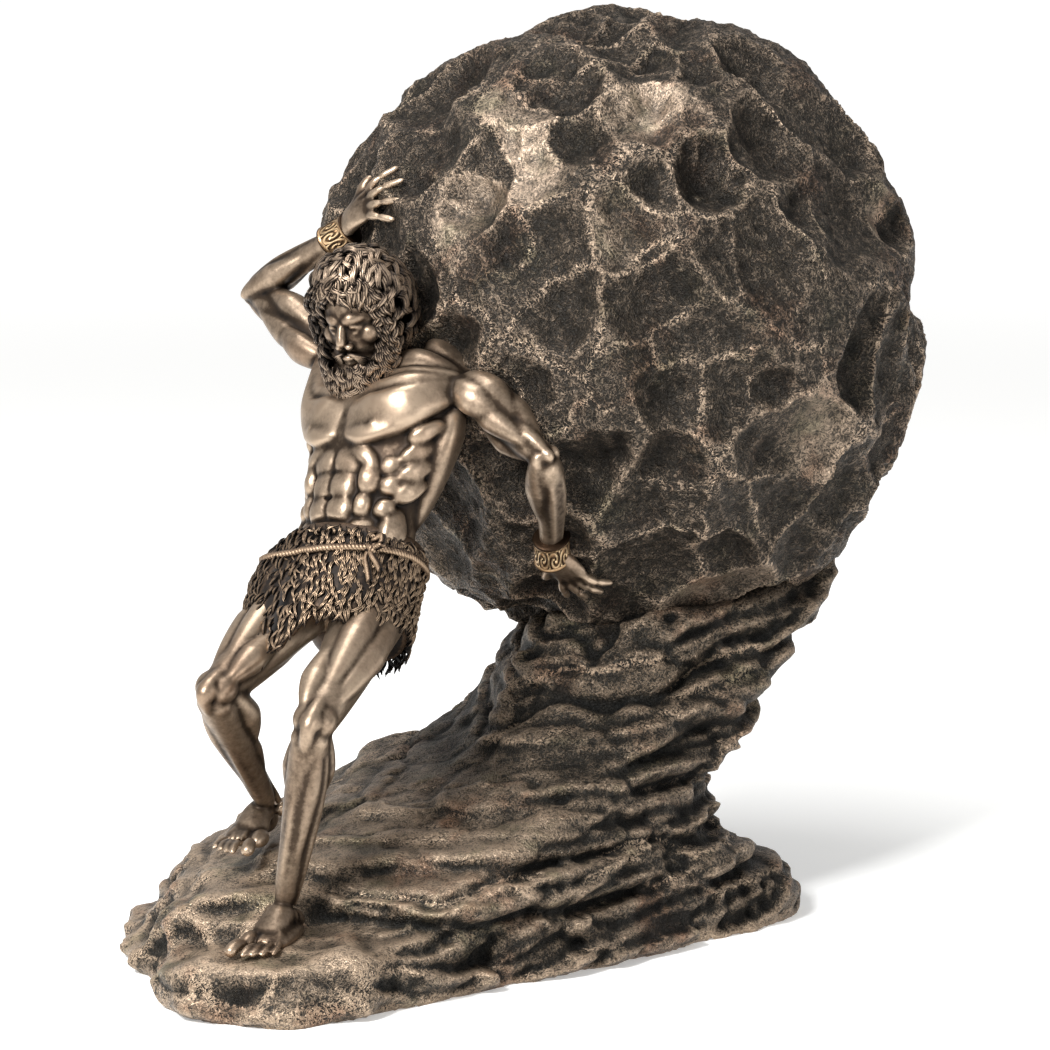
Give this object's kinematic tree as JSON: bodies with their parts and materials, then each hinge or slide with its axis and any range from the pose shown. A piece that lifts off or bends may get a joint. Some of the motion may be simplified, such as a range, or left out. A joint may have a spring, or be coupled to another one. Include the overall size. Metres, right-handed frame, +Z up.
{
  "type": "sisyphus statue",
  "caption": "Standing bronze-look resin statue of a bearded man in a fur kilt who leans back against a large round boulder on a sloping layered rock base.",
  "frame": {"origin": "on the ground under the middle of the statue's box", "axes": "+Z up, +X up the slope from the figure towards the boulder, -Y the side that shows the figure's left arm"},
  "size_m": [0.281, 0.1762, 0.2617],
  "materials": {
    "bronze_resin": "cold-cast bronze resin, satin, dark patina in the hollows and pale rubbed edges"
  },
  "bodies": {
    "root": {"statue": "bronze_resin"}
  },
  "joints": []
}
